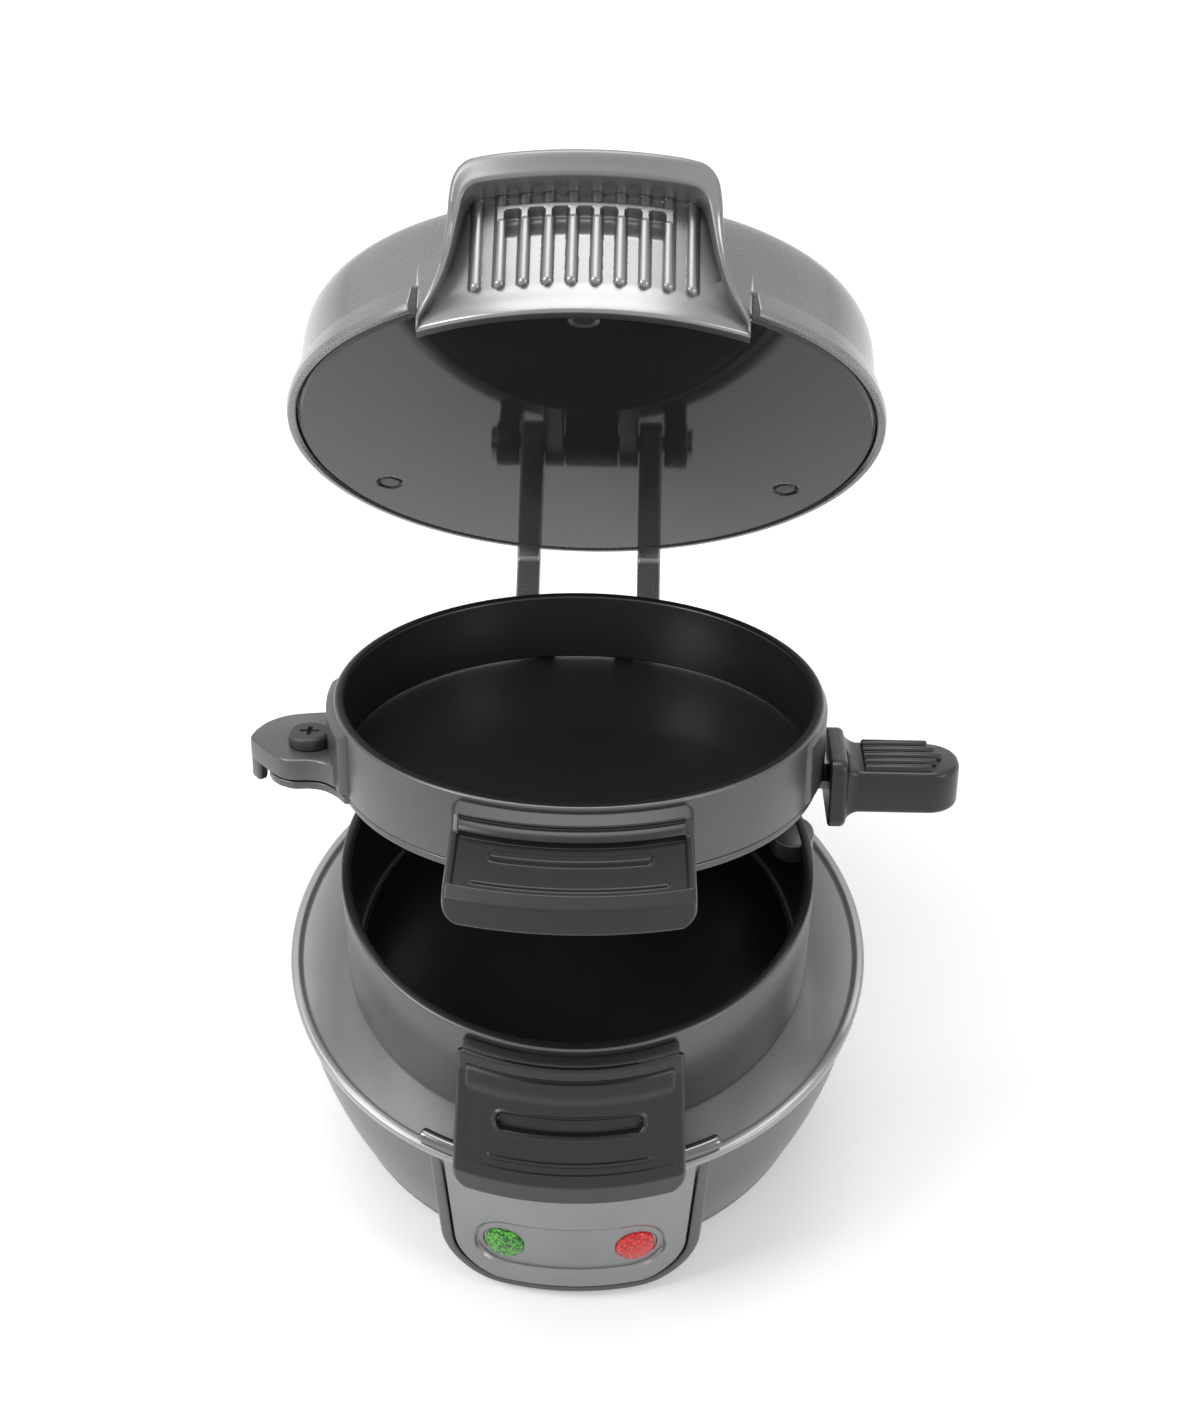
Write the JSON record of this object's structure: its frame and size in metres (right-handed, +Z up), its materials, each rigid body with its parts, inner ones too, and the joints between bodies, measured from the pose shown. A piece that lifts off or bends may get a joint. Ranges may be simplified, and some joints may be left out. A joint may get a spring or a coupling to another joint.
{
  "type": "breakfast sandwich maker",
  "caption": "Round countertop sandwich cooker: a heated base, two lifting rings with a swinging plate between them, and a hinged domed lid.",
  "frame": {"origin": "middle of the bounding box on the surface that the maker stands on, in the pictured pose", "axes": "+Z up, -Y towards the handles and the lamps, +X towards the plate's handle; the hinge pin runs along X at the back"},
  "size_m": [0.1592, 0.1936, 0.2259],
  "materials": {
    "grey_plastic": "satin mid grey",
    "silver_plastic": "silver paint, satin",
    "charcoal_plastic": "satin charcoal",
    "black_plastic": "matte black",
    "ring_metal": "grey non-stick over pressed metal",
    "nonstick": "dark non-stick coating",
    "liner_grey": "glossy dark grey coating",
    "steel": "plain steel",
    "chrome": "bright chrome",
    "rubber": "matte black rubber",
    "green_lens": "clear green moulding",
    "red_lens": "clear red moulding",
    "lamp_glass": "small neon lamp"
  },
  "bodies": {
    "base": {"base_shell": "grey_plastic", "base_deck": "grey_plastic", "front_panel": "silver_plastic", "ready_lens": "green_lens", "power_lens": "red_lens", "ready_lamp": "lamp_glass", "power_lamp": "lamp_glass", "lamp_holder": "black_plastic", "handle_rest_trim": "chrome", "bottom_heating_plate": "nonstick", "bottom_element": "steel", "thermostat": "black_plastic", "thermal_fuse": "steel", "bottom_cover": "black_plastic", "cover_screw_1": "steel", "cover_screw_2": "steel", "cover_screw_3": "steel", "foot_1": "rubber", "foot_2": "rubber", "foot_3": "rubber", "foot_4": "rubber", "cord_gland": "black_plastic", "hinge_pin": "steel"},
    "lower_stage": {"lower_ring": "ring_metal", "lower_handle": "charcoal_plastic", "lower_handle_screw": "steel"},
    "upper_stage": {"upper_ring": "ring_metal", "upper_handle": "charcoal_plastic", "upper_handle_screw": "steel", "pivot_screw": "steel", "pivot_nut": "steel"},
    "plate": {"cooking_plate": "nonstick", "plate_handle": "charcoal_plastic", "plate_handle_screw": "steel"},
    "lid": {"lid_shell": "grey_plastic", "lid_handle": "silver_plastic", "lid_handle_screw_1": "steel", "lid_handle_screw_2": "steel", "lid_liner": "liner_grey", "liner_screw_1": "steel", "liner_screw_2": "steel", "liner_screw_3": "steel", "top_heating_plate": "nonstick", "top_element": "steel"}
  },
  "joints": [
    {"name": "lower_ring_lift", "type": "hinge", "parent": "base", "child": "lower_stage", "pos_m": [-0.00658, 0.04915, 0.0635], "axis": [-1, 0, 0], "range_deg": [0, 35]},
    {"name": "upper_ring_lift", "type": "hinge", "parent": "lower_stage", "child": "upper_stage", "pos_m": [-0.00658, 0.04915, 0.0635], "axis": [-1, 0, 0], "range_deg": [-18.5, 31.5]},
    {"name": "lid_lift", "type": "hinge", "parent": "upper_stage", "child": "lid", "pos_m": [-0.00658, 0.04915, 0.0635], "axis": [-1, 0, 0], "range_deg": [-45.5, 39.5]},
    {"name": "plate_swing", "type": "hinge", "parent": "upper_stage", "child": "plate", "pos_m": [-0.06608, -0.02238, 0.10404], "axis": [0, -0.3173, -0.9483], "range_deg": [0, 90]}
  ]
}
